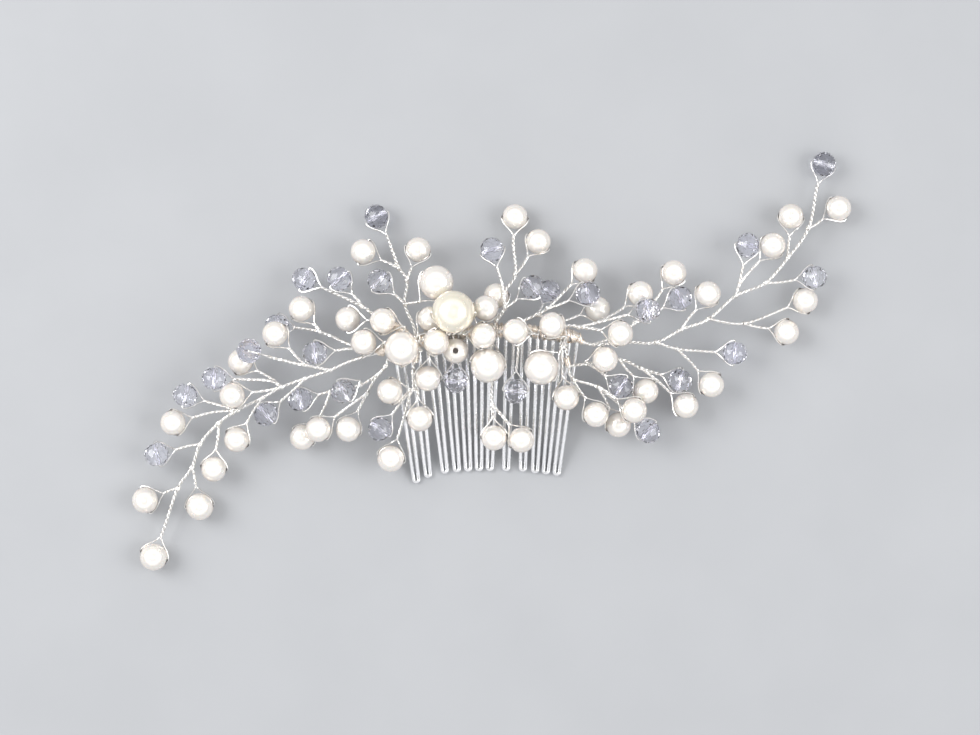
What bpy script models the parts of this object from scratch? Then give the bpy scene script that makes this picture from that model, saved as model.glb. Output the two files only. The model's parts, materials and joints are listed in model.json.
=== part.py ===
"""Decorative hair comb: pearls and crystals on twisted wire sprays, bound to a wire comb.

The comb lies flat. +X runs along its top rail, the teeth point to -Y, +Z is up from the table that
the tooth tips and the outermost beads rest on. The origin is the middle of the footprint, on the table.
"""

import math

import bmesh
import bpy
from mathutils import Vector

MM = 0.001

# Beads
PEARL_DIAMETER = 6.0
CRYSTAL_DIAMETER = 5.7
CRYSTAL_THICKNESS = 0.86  # along the hole, as a share of the diameter
BORE_RADIUS = 0.55
PEARL_STEPS = 8
PEARL_ARC_SEGMENTS = 4
CRYSTAL_SIDES = 8
CRYSTAL_RINGS = 4

# Spray wire: one strand, folded round each bead and twisted with itself below it
STRAND_RADIUS = 0.22
TWIST_RADIUS = 0.4
TRUNK_RADIUS = 0.45
FORK_REACH = 1.6  # from the bead's surface to the point where its two strands meet
SHOULDER_REACH = 0.8  # how far the strand stands off the bead on its way to the hole
MOUTH_REACH = 0.5  # how far it stands off at the mouth of the hole
SHOULDER_ANGLE = math.radians(42)

# Comb
TOOTH_WIRE_RADIUS = 0.5
TOOTH_COUNT = 12
TOOTH_PITCH = 3.75
FIRST_TOOTH_X = -22.0
RAIL_TOP_Z = 10.0
TOOTH_TOP_GAP = TOOTH_PITCH / 2
TOOTH_TIP_GAP = 1.25
TOOTH_TIP_X = (-18.1, -15.3, -11.3, -8.4, -5.7, -3.1, -0.5, 3.4, 7.4, 10.3, 12.9, 15.5)
TOOTH_TIP_Y = (-28.1, -26.8, -25.8, -25.5, -25.3, -25.2, -25.2, -25.2, -25.3, -25.7, -26, -26.3)
TOOTH_BOW = 0.35  # how much the teeth bow upwards between rail and tip
LEG_SHARES = (0, 0.35, 0.7, 1)  # where a leg's points are, from rail to tip
BEND_WIDTH = 0.62  # a bend's two middle points: their distance apart, as a share of the legs' distance,
BEND_REACH = 0.85  # and how far past the legs they stand, as a share of half that distance
RAIL_RADIUS = 0.6
RAIL_GAP = 0.3
RAIL_ENDS_X = (-25.2, 20.6)
RAIL_POINTS = 9
RAIL_SHIFT_Y = 0.4  # the rail's middle from the arch line that the tops of the legs follow
ARCH_TOP_Y = 7.0
ARCH_DROP = 3.0  # how far the arch falls by the ends of the comb
ARCH_LEAN = 0.8  # how much higher its right end is than its middle line, and its left end lower
ARCH_HALF_LENGTH = 23.0

# Binding wire wound over the rail and the tops of the teeth
BINDING_RADIUS = 0.2
BINDING_HALF_HEIGHT = 1.85
BINDING_HALF_DEPTH = 1.75
BINDING_SHIFT_Y = 0.3  # the helix's axis from the arch line, and from the tops of the legs
BINDING_SHIFT_Z = 0.8
BINDING_POINTS_A_TURN = 8
BINDING_START_ANGLE = math.radians(115)  # where the helix passes between the teeth
LEFT_BINDING = (-1, 3)  # the gap between two legs where it starts, and its turns
RIGHT_BINDING = (19, 4)

COLOURS = {
    "pearl": ((0.90, 0.86, 0.78), 0.18, 0.0),
    "spray_wire": ((0.80, 0.79, 0.76), 0.28, 1.0),
    "comb_wire": ((0.74, 0.74, 0.74), 0.30, 1.0),
    "binding_wire": ((0.78, 0.73, 0.66), 0.34, 1.0),
}


class Bead:
    """A threaded bead: its centre and size, and whether its hole points up or lies level."""

    def __init__(self, x, y, z, size, crystal=False, joined=False, upright=False):
        self.centre = Vector((x, y, z))
        self.radius = size / 2
        self.crystal = crystal
        self.joined = joined
        self.upright = upright


def pearl(x, y, z, size=PEARL_DIAMETER):
    """A pearl that is its own part and turns on its wire."""
    return Bead(x, y, z, size)


def joined_pearl(x, y, z, size=PEARL_DIAMETER):
    """A pearl that is one body with its wire."""
    return Bead(x, y, z, size, joined=True)


def crystal(x, y, z, size=CRYSTAL_DIAMETER, upright=False):
    """A cut glass bead, one body with its wire."""
    return Bead(x, y, z, size, crystal=True, joined=True, upright=upright)


def stem(start, route, bead):
    """A twisted wire to one bead. start is the (stem, point) of the same spray that it branches from."""
    return start, [Vector(point) for point in route], bead


# Every spray as its maker twists it: the first stem is the trunk, and each later one leaves a point of
# an earlier one. Places are in millimetres.
SPRAYS = {
    "left_vine": [
        stem(None, [(-27.2, 2, 11), (-33.5, 0, 10.8), (-38, -2, 10.5), (-44, -4, 10), (-49.5, -6, 9.6),
                    (-54, -8.5, 9.2), (-60, -11.5, 8.6), (-64.5, -14.5, 8), (-69, -19.5, 7.2),
                    (-71, -25, 6.2), (-74.5, -30, 5.2), (-77.5, -38.5, 4.2)],
             pearl(-80.5, -46.5, 3.25, size=6.5)),
        stem((0, 10), [], pearl(-82.5, -33, 3.6, size=6.2)),
        stem((0, 9), [], pearl(-69.5, -34.5, 3.5, size=6.5)),
        stem((0, 8), [], crystal(-79.5, -22, 5.5)),
        stem((0, 7), [], pearl(-66, -25.5, 5)),
        stem((0, 6), [(-66, -12, 7.6)], pearl(-75.5, -14.5, 6.5)),
        stem((0, 6), [(-63.5, -10.5, 8.4)], crystal(-72.5, -8, 7)),
        stem((0, 5), [], pearl(-60.5, -18.5, 5.8)),
        stem((0, 4), [], pearl(-61, -8, 11.3)),
        stem((0, 4), [(-52.5, -4.5, 9.8)], crystal(-65.5, -4, 9)),
        stem((0, 4), [(-52, -4, 8.8)], pearl(-59.5, 0, 6.5)),
        stem((0, 3), [(-46.5, -6.5, 9.2)], crystal(-53.5, -12.5, 5.9)),
        stem((0, 2), [(-43.5, -1, 10.8), (-50, 0.5, 11.3)], crystal(-57, 2.5, 11.8, upright=True)),
        stem((0, 2), [(-44, -0.5, 10.9)], pearl(-51, 6.5, 11)),
        stem((0, 0), [(-33.5, 4, 9.5), (-40.5, 7, 8.5), (-46.5, 8, 6.5)], crystal(-51, 8.5, 5)),
        stem((14, 2), [], pearl(-45, 12.5, 8.3)),
        stem((0, 0), [(-25, 4.5, 12.6)], pearl(-30, 4.5, 14)),
        stem((0, 0), [(-33, 3, 11.4)], crystal(-41.5, 2, 12.5)),
    ],
    "lower_left_spray": [
        stem(None, [(-25, -1, 9.5), (-27.5, -4, 9), (-29.5, -7.5, 8)], pearl(-34, -16, 7)),
        stem((0, 2), [(-34.5, -11, 8)], pearl(-41, -16, 8.8)),
        stem((0, 0), [(-27, -3, 9.3), (-31, -5.5, 8.6), (-38, -7, 7.8)], crystal(-45.5, -9, 6.5)),
        stem((2, 2), [(-31, -4.5, 10.2)], crystal(-35, -7, 11)),
        stem((2, 3), [(-40.5, -12.5, 5.5)], pearl(-45, -18, 4.5)),
    ],
    "upper_left_spray": [
        stem(None, [(-18.5, 8.5, 12), (-20.5, 13.5, 11), (-20, 19, 9.5), (-22, 22, 8),
                    (-23, 24.5, 7.2), (-25, 30, 4.5)], crystal(-27.5, 34.5, 2.9)),
        stem((0, 3), [], pearl(-30.5, 26, 6.5)),
        stem((0, 2), [], pearl(-17.5, 26.5, 6)),
        stem((0, 1), [], crystal(-26.5, 19, 9.5)),
        stem((0, 1), [(-17, 14, 12.4)], pearl(-13, 18.5, 13, size=8)),
    ],
    "left_shoulder_spray": [
        stem(None, [(-20.5, 7.5, 12.5), (-25, 9.5, 11.5), (-28.5, 11.5, 10.8), (-30.5, 13, 10.3)],
             crystal(-44.5, 19.5, 5.5)),
        stem((0, 3), [], crystal(-36, 19.5, 8.5)),
        stem((0, 1), [], joined_pearl(-34, 10, 8.5)),
        stem((0, 0), [(-20.3, 8, 13.6)], pearl(-25.5, 9.5, 15)),
    ],
    "cluster": [
        stem(None, [(-18.5, 4.5, 12.8), (-14.5, 5.5, 12.8), (-9, 6.5, 12.8), (-4, 7, 12.8), (0.5, 7, 12.8),
                    (6, 7, 12.8), (11, 6.5, 12.8)], pearl(5.5, 7, 16.5)),
        stem((0, 2), [], pearl(-9, 11.5, 18, size=10)),
        stem((0, 0), [(-16.5, 2.5, 12.8)], pearl(-21, 3, 17.2, size=8)),
        stem((0, 0), [], pearl(-13, 4.5, 16.5)),
        stem((0, 1), [], joined_pearl(-8.5, 2.5, 13)),
        stem((0, 0), [], joined_pearl(-14.5, 10, 12)),
        stem((0, 2), [], joined_pearl(-2, 6, 16.5)),
        stem((0, 3), [], pearl(-1.5, 12.5, 14)),
        stem((0, 4), [], pearl(-1, -1, 14.5, size=8)),
        stem((0, 2), [], crystal(-8.5, -4.5, 12)),
        stem((0, 5), [], crystal(5.5, -7, 11.5)),
        stem((0, 1), [], joined_pearl(-15, -4, 12.5)),
    ],
    "right_cluster": [
        stem(None, [(16.5, 3.5, 11.8), (15.8, 2.2, 12)], pearl(11.5, -1.5, 14, size=8)),
        stem((0, 0), [(16.5, -3, 11)], joined_pearl(17.5, -8.5, 10.8)),
        stem((0, 0), [(17.5, 6, 13.5)], joined_pearl(14, 8.5, 15.5)),
    ],
    "left_drop": [
        stem(None, [(-18, 2, 12), (-18.5, -2.5, 11.5), (-18.5, -6.5, 10.6)], joined_pearl(-24, -7, 11.3)),
        stem((0, 2), [], crystal(-26.5, -16, 7)),
        stem((0, 2), [(-19.5, -8.5, 10), (-21, -14, 8)], joined_pearl(-24, -23, 5.5, size=6.4)),
        stem((0, 1), [(-17.5, -6.5, 10.5)], pearl(-17, -13.5, 9.5)),
    ],
    "centre_drop": [
        stem(None, [(0, 2.5, 10.6), (0, -3, 10), (0, -10, 9.6)], joined_pearl(0.5, -18, 8.5)),
        stem((0, 2), [(3, -13.5, 9.3)], joined_pearl(7, -18.5, 8.5)),
    ],
    "top_spray": [
        stem(None, [(1, 9.5, 12.8), (3, 12.5, 12.2), (3, 16.5, 11.3), (5.5, 20.5, 9), (5, 27.5, 5.5)],
             pearl(5.5, 34.5, 3)),
        stem((0, 3), [], pearl(11, 28.5, 4.5)),
        stem((0, 1), [(2.5, 17.5, 10.8)], crystal(0, 26.5, 6)),
        stem((0, 1), [], crystal(9.5, 17.5, 9.6)),
        stem((0, 0), [(2, 10.5, 10)], joined_pearl(1, 15.5, 8.2)),
    ],
    "upper_right_spray": [
        stem(None, [(7.5, 9.5, 12.6), (10.5, 11, 12), (13, 12.5, 11.5), (17, 16.5, 9.5)],
             joined_pearl(22, 21.5, 7)),
        stem((0, 2), [], crystal(22.5, 16, 10.2)),
        stem((0, 1), [(16, 9.5, 10.5)], joined_pearl(25, 12.5, 6)),
        stem((0, 1), [], crystal(13.5, 16.5, 5.3)),
    ],
    "right_vine": [
        stem(None, [(21.5, 4.5, 11.2), (24, 4, 11), (32, 4.5, 10.8), (38.5, 4.5, 10.3), (44.5, 7.5, 9.8),
                    (51, 10, 9.3), (57.5, 15.5, 8.5), (64.5, 18.5, 7.8), (70, 24.5, 7), (75, 31.5, 5.6),
                    (77, 40.5, 4)], crystal(79, 47, 2.9)),
        stem((0, 9), [], pearl(82.5, 36.5, 3.3)),
        stem((0, 8), [], pearl(71, 34.5, 4.5)),
        stem((0, 6), [(58.5, 19, 8)], crystal(60.5, 27.5, 6.5)),
        stem((0, 6), [(59, 19, 7.8)], pearl(66.5, 27.5, 6.5)),
        stem((0, 7), [], crystal(76.5, 20, 5.5)),
        stem((0, 5), [(59.5, 9, 8)], pearl(74.5, 14.5, 3.8)),
        stem((6, 1), [], pearl(70, 7, 4)),
        stem((0, 4), [], pearl(51, 16, 8.5)),
        stem((0, 3), [(43.5, 3, 9.2), (49, 2.5, 7.8)], crystal(57.5, 2, 6)),
        stem((9, 1), [], pearl(52, -5.5, 6.3)),
        stem((0, 0), [(22.5, 7, 12.5)], pearl(30, 6.5, 14.6)),
        stem((0, 1), [(29, 6, 10.2), (33.5, 9, 9.8), (38.5, 14.5, 8.6)], pearl(43, 21, 7)),
        stem((12, 2), [], crystal(44.5, 15, 7.5)),
        stem((0, 0), [(25, 9, 12), (30, 10.5, 12.3)], crystal(36.5, 12, 13.4)),
        stem((14, 1), [(30, 12, 10)], pearl(35, 16, 8.8)),
    ],
    "lower_right_spray": [
        stem(None, [(18, -1, 10.3), (22.5, -0.5, 9.8), (30, 0.5, 9), (35, -1.5, 8.2)],
             crystal(44.5, -4.5, 6.5)),
        stem((0, 1), [(22, 0, 11.2)], pearl(26.5, 0.5, 13.2)),
        stem((0, 1), [], crystal(30.5, -6, 7.5)),
        stem((0, 2), [], pearl(36.5, -7, 6)),
        stem((0, 3), [], pearl(46, -10.5, 5.2)),
        stem((0, 0), [(19, -4, 9.8), (25, -6, 9)], pearl(33.5, -11.5, 10)),
        stem((5, 2), [(30, -10, 6.2)], crystal(37, -16.5, 6)),
        stem((5, 1), [], pearl(24.5, -12.5, 9)),
        stem((5, 2), [], pearl(30, -15, 5.2)),
    ],
}


def clear_scene():
    for obj in list(bpy.data.objects):
        bpy.data.objects.remove(obj, do_unlink=True)


def new_collection(name, hidden=False):
    collection = bpy.data.collections.new(name)
    collection.hide_render = hidden
    bpy.context.scene.collection.children.link(collection)
    return collection


def make_material(name):
    colour, roughness, metallic = COLOURS[name]
    material = bpy.data.materials.new(name)
    material.use_nodes = True
    shader = material.node_tree.nodes["Principled BSDF"]
    shader.inputs["Base Color"].default_value = (*colour, 1)
    shader.inputs["Roughness"].default_value = roughness
    shader.inputs["Metallic"].default_value = metallic
    material.diffuse_color = (*colour, 1)
    return material


def wire_curve(name, points, radius, resolution, collection, cyclic=False):
    """A round wire through the points, in millimetres, as a curve object."""
    curve = bpy.data.curves.new(name, "CURVE")
    curve.dimensions = "3D"
    curve.bevel_depth = radius * MM
    curve.bevel_resolution = resolution
    curve.use_fill_caps = True
    spline = curve.splines.new("POLY")
    spline.points.add(len(points) - 1)
    for spline_point, point in zip(spline.points, points):
        spline_point.co = (*(Vector(point) * MM), 1)
    spline.use_cyclic_u = cyclic
    obj = bpy.data.objects.new(name, curve)
    collection.objects.link(obj)
    return obj


def as_mesh(curve_object):
    """Replaces a curve object with a mesh object of the same name, its caps welded to its sides."""
    bpy.context.view_layer.update()
    graph = bpy.context.evaluated_depsgraph_get()
    mesh = bpy.data.meshes.new_from_object(curve_object.evaluated_get(graph))
    work = bmesh.new()
    work.from_mesh(mesh)
    bmesh.ops.remove_doubles(work, verts=work.verts, dist=1e-7)
    bmesh.ops.recalc_face_normals(work, faces=work.faces)
    work.to_mesh(mesh)
    work.free()
    name = curve_object.name
    obj = bpy.data.objects.new(name + "_mesh", mesh)
    obj.matrix_world = curve_object.matrix_world
    for collection in curve_object.users_collection:
        collection.objects.link(obj)
    bpy.data.objects.remove(curve_object, do_unlink=True)
    obj.name = name
    return obj


def bead_frame(bead, neck):
    """The direction from the bead towards its stem, and the direction of its hole."""
    towards = (neck - bead.centre).normalized()
    if bead.upright:
        hole = Vector((0, 0, 1))
        towards = (towards - hole * towards.dot(hole)).normalized()
    else:
        hole = Vector((0, 0, 1)).cross(towards).normalized()
    return towards, hole


def fork_point(bead, towards):
    return bead.centre + towards * (bead.radius + FORK_REACH)


def bead_loop(bead, towards, hole):
    """The strand's way from the fork round one side of the bead, through its hole and back."""
    half = bead.radius * (CRYSTAL_THICKNESS if bead.crystal else 1)
    shoulder = bead.radius + SHOULDER_REACH
    points = [fork_point(bead, towards)]
    for side in (1, -1):
        reach = hole * side
        bend = towards * math.cos(SHOULDER_ANGLE) + reach * math.sin(SHOULDER_ANGLE)
        pair = [bead.centre + bend * shoulder, bead.centre + reach * (half + MOUTH_REACH)]
        points += pair if side == 1 else pair[::-1]
    return points


def pearl_mesh(name, radius):
    """A bored ball turned from its section: down the outside, then back up the wall of the hole."""
    rim = math.asin(BORE_RADIUS / radius)
    section = []
    for i in range(PEARL_ARC_SEGMENTS + 1):
        angle = rim + (math.pi - 2 * rim) * i / PEARL_ARC_SEGMENTS
        section.append((radius * math.sin(angle) * MM, 0, radius * math.cos(angle) * MM))
    mesh = bpy.data.meshes.new(name)
    count = len(section)
    mesh.from_pydata(section, [(i, (i + 1) % count) for i in range(count)], [])
    return mesh


def add_pearl(name, bead, hole, material, collection):
    obj = bpy.data.objects.new(name, pearl_mesh(name, bead.radius))
    collection.objects.link(obj)
    obj.location = bead.centre * MM
    obj.rotation_euler = hole.to_track_quat("Z", "Y").to_euler()
    turn = obj.modifiers.new("turn", "SCREW")
    turn.axis = "Z"
    turn.steps = PEARL_STEPS
    turn.render_steps = PEARL_STEPS
    turn.use_merge_vertices = True
    turn.merge_threshold = 0.00001
    turn.use_smooth_shade = True
    obj.data.materials.append(material)
    return obj


def add_joined_bead(name, bead, hole, collection):
    """A solid ball, flattened along its hole where it is a crystal, for a union with its wire."""
    mesh = bpy.data.meshes.new(name)
    work = bmesh.new()
    bmesh.ops.create_uvsphere(
        work, u_segments=CRYSTAL_SIDES, v_segments=CRYSTAL_RINGS, radius=bead.radius * MM
    )
    if bead.crystal:
        bmesh.ops.scale(work, vec=(1, 1, CRYSTAL_THICKNESS), verts=work.verts)
    work.to_mesh(mesh)
    work.free()
    obj = bpy.data.objects.new(name, mesh)
    collection.objects.link(obj)
    obj.location = bead.centre * MM
    obj.rotation_euler = hole.to_track_quat("Z", "Y").to_euler()
    return obj


def add_spray(name, stems, materials, parts, helpers):
    """One spray: its wire and joined beads become one body, and each loose pearl a part of its own."""
    members = bpy.data.collections.new(name + "_members")
    helpers.children.link(members)
    lines = []
    pearls = []
    for number, (start, route, bead) in enumerate(stems):
        line = [lines[start[0]][start[1]]] if start else []
        line += route
        towards, hole = bead_frame(bead, line[-1])
        loop = bead_loop(bead, towards, hole)
        lines.append(line)
        radius = TWIST_RADIUS if start else TRUNK_RADIUS
        twist = as_mesh(wire_curve(f"{name}_stem_{number}", line + [loop[0]], radius, 0, members))
        as_mesh(wire_curve(f"{name}_eye_{number}", loop, STRAND_RADIUS, 0, members, cyclic=True))
        if not start:
            trunk = twist
            members.objects.unlink(trunk)
            parts.objects.link(trunk)
        if bead.joined:
            add_joined_bead(f"{name}_bead_{number}", bead, hole, members)
        else:
            pearls.append((bead, hole))
    for obj in members.objects:
        obj.hide_render = True
        obj.display_type = "WIRE"
    trunk.name = f"{name}_wire"
    trunk.data.materials.append(materials["spray_wire"])
    join = trunk.modifiers.new("join", "BOOLEAN")
    join.operation = "UNION"
    join.operand_type = "COLLECTION"
    join.collection = members
    join.solver = "MANIFOLD"  # EXACT leaves edges that touch where three twigs meet at one fork
    for number, (bead, hole) in enumerate(pearls, start=1):
        add_pearl(f"{name}_pearl_{number}", bead, hole, materials["pearl"], parts)


def rail_y(x):
    """The rail's gentle arch: highest near the middle, its left end a little lower than its right."""
    share = x / ARCH_HALF_LENGTH
    return ARCH_TOP_Y - ARCH_DROP * share**2 + ARCH_LEAN * share


def tooth_leg(top_x, tip_x, tip_y):
    """Points down one leg of a tooth, from the rail to its tip."""
    top = Vector((top_x, rail_y(top_x), RAIL_TOP_Z))
    tip = Vector((tip_x, tip_y, TOOTH_WIRE_RADIUS))
    points = []
    for share in LEG_SHARES:
        point = top.lerp(tip, share)
        point.z = tip.z + (top.z - tip.z) * (1 - share) * (1 + TOOTH_BOW * share)
        points.append(point)
    return points


def half_turn(start, end, away):
    """The two middle points of a bend that joins two legs, bulging towards away."""
    half = (end - start) / 2
    top = (start + end) / 2 + away * half.length * BEND_REACH
    return [top - half * BEND_WIDTH, top + half * BEND_WIDTH]


def comb_tooth_points():
    """The comb's one long wire: down a leg, round the tip, up the other leg and over to the next tooth."""
    points = []
    for number in range(TOOTH_COUNT):
        top_x = FIRST_TOOTH_X + number * TOOTH_PITCH
        tip_x, tip_y = TOOTH_TIP_X[number], TOOTH_TIP_Y[number]
        down = tooth_leg(top_x - TOOTH_TOP_GAP / 2, tip_x - TOOTH_TIP_GAP / 2, tip_y)
        up = tooth_leg(top_x + TOOTH_TOP_GAP / 2, tip_x + TOOTH_TIP_GAP / 2, tip_y)[::-1]
        if points:
            points += half_turn(points[-1], down[0], Vector((0, 1, 0)))
        points += down
        points += half_turn(down[-1], up[0], Vector((0, -1, 0)))
        points += up
    return points


def rail_points():
    low, high = RAIL_ENDS_X
    height = RAIL_TOP_Z + TOOTH_WIRE_RADIUS + RAIL_RADIUS + RAIL_GAP
    xs = [low + (high - low) * i / (RAIL_POINTS - 1) for i in range(RAIL_POINTS)]
    return [Vector((x, rail_y(x) + RAIL_SHIFT_Y, height)) for x in xs]


def binding_points(first_gap, turns):
    """A helix round the rail and the tooth tops, passing the teeth in the middle of each gap."""
    points = []
    for i in range(turns * BINDING_POINTS_A_TURN + 1):
        share = i / BINDING_POINTS_A_TURN
        x = FIRST_TOOTH_X + TOOTH_TOP_GAP * (first_gap + share)
        angle = math.tau * share - BINDING_START_ANGLE
        y = rail_y(x) + BINDING_SHIFT_Y + BINDING_HALF_DEPTH * math.sin(angle)
        z = RAIL_TOP_Z + BINDING_SHIFT_Z + BINDING_HALF_HEIGHT * math.cos(angle)
        points.append(Vector((x, y, z)))
    return points


def add_wire_part(name, points, radius, resolution, material, collection):
    obj = as_mesh(wire_curve(name, points, radius, resolution, collection))
    obj.data.materials.append(material)
    for polygon in obj.data.polygons:
        polygon.use_smooth = True
    return obj


def build():
    clear_scene()
    parts = new_collection("hair_comb")
    helpers = new_collection("hair_comb_helpers")
    materials = {name: make_material(name) for name in COLOURS}
    comb, binding = materials["comb_wire"], materials["binding_wire"]
    add_wire_part("comb_tooth_wire", comb_tooth_points(), TOOTH_WIRE_RADIUS, 1, comb, parts)
    add_wire_part("comb_top_rail", rail_points(), RAIL_RADIUS, 1, comb, parts)
    add_wire_part("left_binding_wire", binding_points(*LEFT_BINDING), BINDING_RADIUS, 0, binding, parts)
    add_wire_part("right_binding_wire", binding_points(*RIGHT_BINDING), BINDING_RADIUS, 0, binding, parts)
    for name, stems in SPRAYS.items():
        add_spray(name, stems, materials, parts, helpers)


build()
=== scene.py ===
# %% [markdown]
# # A bridal hair comb of pearls and cut glass
# The frame holds the comb as plain solids, each in its place and each on the body that moves it.
# Here every one of them is made again as a bead threader would see it: bored pearls, faceted glass,
# twisted silver wire, a comb bent from one wire and a rail wound with fine champagne wire.

import json
import math

import bmesh
import bpy
from mathutils import Matrix, Vector


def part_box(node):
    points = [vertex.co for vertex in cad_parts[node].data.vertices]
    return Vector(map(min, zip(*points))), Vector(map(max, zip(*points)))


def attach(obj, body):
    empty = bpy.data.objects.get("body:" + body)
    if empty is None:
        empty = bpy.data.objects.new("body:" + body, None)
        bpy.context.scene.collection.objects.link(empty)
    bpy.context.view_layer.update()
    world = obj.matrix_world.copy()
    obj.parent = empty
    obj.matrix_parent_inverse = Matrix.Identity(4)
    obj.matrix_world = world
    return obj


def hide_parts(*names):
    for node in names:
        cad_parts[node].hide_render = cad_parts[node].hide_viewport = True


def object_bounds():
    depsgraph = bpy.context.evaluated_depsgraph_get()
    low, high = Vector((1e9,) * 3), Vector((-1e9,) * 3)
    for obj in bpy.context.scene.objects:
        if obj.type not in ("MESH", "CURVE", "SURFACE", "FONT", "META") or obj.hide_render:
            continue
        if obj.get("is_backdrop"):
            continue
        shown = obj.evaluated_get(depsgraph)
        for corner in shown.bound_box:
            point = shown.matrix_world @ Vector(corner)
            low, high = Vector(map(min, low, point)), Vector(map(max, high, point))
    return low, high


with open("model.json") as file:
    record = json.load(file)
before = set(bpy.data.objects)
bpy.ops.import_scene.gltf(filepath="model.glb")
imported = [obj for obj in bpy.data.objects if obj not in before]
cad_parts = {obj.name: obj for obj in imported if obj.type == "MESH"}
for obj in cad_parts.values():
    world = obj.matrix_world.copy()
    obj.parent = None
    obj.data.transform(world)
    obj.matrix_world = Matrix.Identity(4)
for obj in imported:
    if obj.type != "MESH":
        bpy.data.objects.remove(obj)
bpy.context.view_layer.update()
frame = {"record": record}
body_of = {node: body for body, nodes in frame["record"]["behaviour"]["bodies"].items() for node in nodes}

# %% [markdown]
# ## The camera and the light
# The comb lies on a table and is seen from straight above through a long lens, which keeps the far
# ends of the two vines as large as the middle. Pearls and silver show what surrounds them, so they are
# lit as a jeweller does it: inside a white tent. The tent is brightest on its slopes and straight
# above, dimmer in a ring around the camera, and darker towards the table, which leaves each pearl a
# broad soft highlight with a faint dim ring in it. Two soft lights stand on both sides, so that every
# pearl has a highlight left and right; the left one is stronger and gives the shadows. The view
# transform is the plain one, because white silver and ivory should come out as clear whites.

# %% Camera
MM = 0.001
VIEW_WIDTH = 230.6 * MM  # what the picture spans at the height of the beads
VIEW_CENTRE = Vector((-0.47, -1.41, 10)) * MM
CAMERA_DISTANCE = 0.6
SENSOR_WIDTH = 36
NEAREST_SEEN = 0.01

camera_data = bpy.data.cameras.new("camera")
camera_data.sensor_width = SENSOR_WIDTH
camera_data.lens = SENSOR_WIDTH * CAMERA_DISTANCE / VIEW_WIDTH
camera_data.clip_start = NEAREST_SEEN
camera = bpy.data.objects.new("camera", camera_data)
camera.location = VIEW_CENTRE + Vector((0, 0, CAMERA_DISTANCE))
bpy.context.scene.collection.objects.link(camera)
bpy.context.scene.camera = camera
print("camera at", tuple(round(v, 3) for v in camera.location), "lens", round(camera_data.lens, 1))


# %% Lights
def soft_light(name, place, size, power):
    """A square soft light that faces the comb."""
    data = bpy.data.lights.new(name, "AREA")
    data.size = size
    data.energy = power
    light = bpy.data.objects.new(name, data)
    light.location = place
    light.rotation_euler = (VIEW_CENTRE - Vector(place)).to_track_quat("-Z", "Y").to_euler()
    bpy.context.scene.collection.objects.link(light)


soft_light("left_light", (-0.6, 0.2, 0.55), 0.55, 4.4)
soft_light("right_light", (0.6, -0.05, 0.55), 0.5, 2.6)
bpy.context.scene.view_settings.view_transform = "Standard"
print("two soft lights, seen with the", bpy.context.scene.view_settings.view_transform, "view transform")


# %% Light tent
def add_node(tree, kind, **settings):
    """A new node with its settings. A setting that names an input sets that input's value."""
    node = tree.nodes.new(kind)
    for key, value in settings.items():
        if hasattr(node, key):
            setattr(node, key, value)
        else:
            node.inputs[key.replace("_", " ")].default_value = value
    return node


TENT = ((0.0, 0.3), (0.2, 0.6), (0.42, 1.0), (0.74, 1.15), (0.87, 0.45))  # height, brightness
TENT_BLUE = 1.02  # how much more blue than red and green its cloth sends back
TENT_STRENGTH = 0.98

world = bpy.data.worlds.new("light_tent")
world.use_nodes = True
background = world.node_tree.nodes["Background"]
background.inputs["Strength"].default_value = TENT_STRENGTH
looking = add_node(world.node_tree, "ShaderNodeTexCoord")
height = add_node(world.node_tree, "ShaderNodeSeparateXYZ")
tent = add_node(world.node_tree, "ShaderNodeValToRGB")
stops = tent.color_ramp.elements  # a new ramp has a first and a last stop, and its white last one stays
for number, (level, brightness) in enumerate(TENT):
    stop = stops[0] if number == 0 else stops.new(level)
    stop.position = level
    stop.color = (brightness, brightness, brightness * TENT_BLUE, 1)
world.node_tree.links.new(looking.outputs["Generated"], height.inputs[0])
world.node_tree.links.new(height.outputs["Z"], tent.inputs["Fac"])
world.node_tree.links.new(tent.outputs["Color"], background.inputs["Color"])
bpy.context.scene.world = world
print("a tent with", len(stops), "steps of brightness")

# %% [markdown]
# ## Variation that every finish shares
# No real surface is one flat colour. Plating, nacre and glass all drift a little from place to place,
# in colour, in gloss and in height. One shader group gives that drift to every material here, from two
# colours, two roughness values and the size of a patch. It reads Object coordinates, which are metres
# in the frame, so two neighbouring beads never carry the same pattern.


# %% A node group: drift of colour, gloss and height
GRAIN_FINENESS = 9  # how many times finer the grain is than the patches
MIX_FACTOR, MIX_A, MIX_B, MIX_RESULT = 0, 6, 7, 2  # the sockets of a Mix node that mixes colours


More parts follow.
